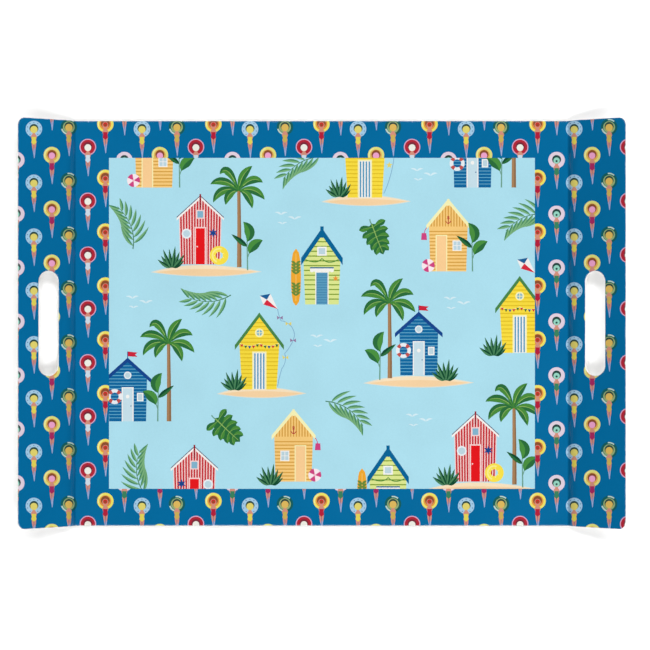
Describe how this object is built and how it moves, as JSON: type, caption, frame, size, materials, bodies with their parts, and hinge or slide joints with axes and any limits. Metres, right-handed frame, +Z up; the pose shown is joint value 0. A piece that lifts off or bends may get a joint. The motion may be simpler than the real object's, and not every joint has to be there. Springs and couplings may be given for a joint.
{
  "type": "serving tray",
  "caption": "Rectangular moulded serving tray with a flat printed base, two raised sloping end wings with stadium hand slots, and a foot ring underneath.",
  "frame": {"origin": "in the plane that the foot ring stands on, under the middle of the tray", "axes": "+X along the length from wing to wing, +Y across the width, +Z up out of the printed face"},
  "size_m": [0.5076, 0.343, 0.0376],
  "materials": {
    "white_melamine": "polished white moulded melamine",
    "border_print": "printed decor foil, deep blue ground with small figures, under a gloss glaze",
    "centre_print": "printed decor foil, pale blue ground with seaside motifs, under a gloss glaze",
    "clear_glaze": "clear polished melamine resin"
  },
  "bodies": {
    "root": {"tray_body": "white_melamine", "border_print_foil": "border_print", "centre_print_foil": "centre_print", "clear_glaze": "clear_glaze"}
  },
  "joints": []
}
